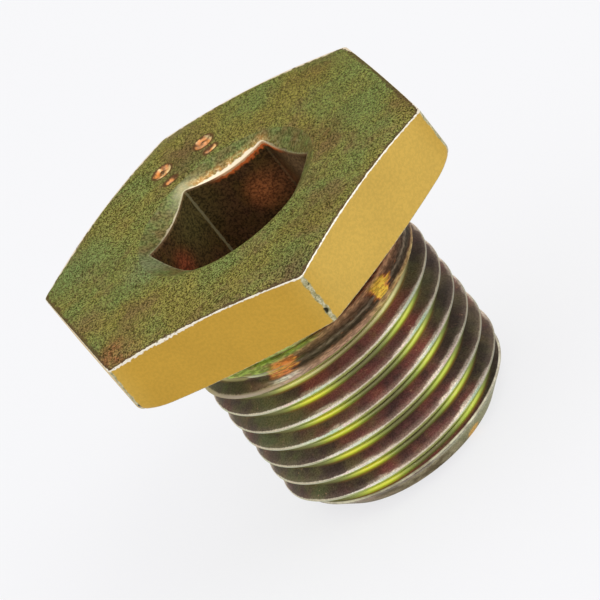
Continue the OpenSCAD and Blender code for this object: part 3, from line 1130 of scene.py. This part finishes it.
class PLUG_OT_shank(bpy.types.Operator):
    """Builds the threaded shank from the neck to the tip"""

    bl_idname = "plug.shank"
    bl_label = "Threaded Shank"

    def execute(self, context):
        scene = context.scene
        mesh = shank_mesh(scene.plug_head, scene.plug_thread, thread_material(scene.plug_colours))
        add_piece("plug_shank", mesh)
        return {"FINISHED"}


def stand_off(item, bearing, elevation, distance, aim=(0, 0, 0), roll=0.0):
    """Puts a camera or a lamp into the scene, looking at a point. The bearing is from +X."""
    level = math.cos(elevation)
    way = Vector((level * math.cos(bearing), level * math.sin(bearing), math.sin(elevation)))
    turn = way.to_track_quat("Z", "Y").to_matrix() @ Matrix.Rotation(roll, 3, "Z")
    holder = bpy.data.objects.new(item.name, item)
    holder.matrix_world = Matrix.Translation(Vector(aim) + way * distance) @ turn.to_4x4()
    bpy.context.scene.collection.objects.link(holder)
    return holder


def floor_material(tone):
    """Pale floor, which the camera and the metal see nearly evenly lit."""
    g = Film("pale floor", Roughness=0.9, Metallic=0.0, Specular_IOR_Level=0.0)
    g.feed("Base Color", tone)
    path = g.node("ShaderNodeLightPath").outputs
    seen = g.add(path["Is Camera Ray"], path["Is Glossy Ray"])
    seen = g.math("ADD", seen, path["Is Transmission Ray"], clamp=True)
    glow = g.node("ShaderNodeEmission", {"Color": tone, "Strength": 1.0}).outputs[0]
    blend = g.node("ShaderNodeMixShader", {0: g.mul(seen, 0.8), 1: g.shader.outputs[0], 2: glow})
    g.put(g.tree.nodes["Material Output"].inputs["Surface"], blend.outputs[0])
    return g.material


FLOOR_SIZE = 4.0

# Tones of the world above the horizon: height as a share and linear colour
SKY = ((0.10, (0.78, 0.78, 0.79)), (0.5, (0.76, 0.76, 0.77)), (0.85, (1.1, 1.1, 1.1)))


def light_world(tone):
    """A plain world: pale at the horizon, greyer above it and bright overhead."""
    world = bpy.data.worlds.new("studio")
    bpy.context.scene.world = world
    world.use_nodes = True
    g = Graph(world.node_tree)
    way = g.node("ShaderNodeTexCoord").outputs["Generated"]
    sky = g.ramp(g.axes(way)["Z"], ((0.02, tone), *SKY))
    g.put(world.node_tree.nodes["Background"].inputs["Color"], sky)


class PLUG_OT_stage(bpy.types.Operator):
    """Sets up the floor, the lights and the camera"""

    bl_idname = "plug.stage"
    bl_label = "Stage"

    def execute(self, context):
        scene = context.scene
        s = scene.plug_studio
        camera = bpy.data.cameras.new("camera")
        camera.lens, camera.clip_start, camera.clip_end = s.lens, 0.01, 10
        scene.camera = stand_off(camera, s.bearing, s.elevation, s.distance, s.aim, s.roll)
        lamp = bpy.data.lights.new("key softbox", "AREA")
        lamp.shape, lamp.size, lamp.energy = "SQUARE", 0.3, 0.6
        stand_off(lamp, math.radians(350), math.radians(50), 0.5)
        half, z = FLOOR_SIZE / 2, scene.plug_thread.tip
        mesh = bpy.data.meshes.new("floor")
        corners = [(x * half, y * half, z) for x, y in ((-1, -1), (1, -1), (1, 1), (-1, 1))]
        mesh.from_pydata(corners, [], [range(4)])
        mesh.materials.append(floor_material(s.floor))
        floor = bpy.data.objects.new("floor", mesh)
        scene.collection.objects.link(floor)
        light_world(s.floor)
        scene.view_settings.view_transform = "Standard"
        return {"FINISHED"}


class PLUG_PT_panel(bpy.types.Panel):
    """Lists the steps that build the plug"""

    bl_idname = "PLUG_PT_panel"
    bl_label = "Screw Plug"
    bl_space_type = "VIEW_3D"
    bl_region_type = "UI"
    bl_category = "Screw Plug"

    def draw(self, context):
        for step in STEPS:
            self.layout.operator(step.bl_idname)


STEPS = (PLUG_OT_head, PLUG_OT_shank, PLUG_OT_stage)
GROUPS_OF_VALUES = {
    "plug_head": PlugHeadSizes, "plug_thread": PlugThreadSizes,
    "plug_colours": PlugColours, "plug_studio": PlugStudio,
}


def register():
    for kind in (*GROUPS_OF_VALUES.values(), *STEPS, PLUG_PT_panel):
        bpy.utils.register_class(kind)
    for name, kind in GROUPS_OF_VALUES.items():
        setattr(bpy.types.Scene, name, PointerProperty(type=kind))


def unregister():
    for name in GROUPS_OF_VALUES:
        delattr(bpy.types.Scene, name)
    for kind in (PLUG_PT_panel, *reversed(STEPS), *reversed(GROUPS_OF_VALUES.values())):
        bpy.utils.unregister_class(kind)


def main():
    register()
    bpy.ops.plug.head()
    bpy.ops.plug.shank()
    bpy.ops.plug.stage()


if __name__ == "__main__":
    main()
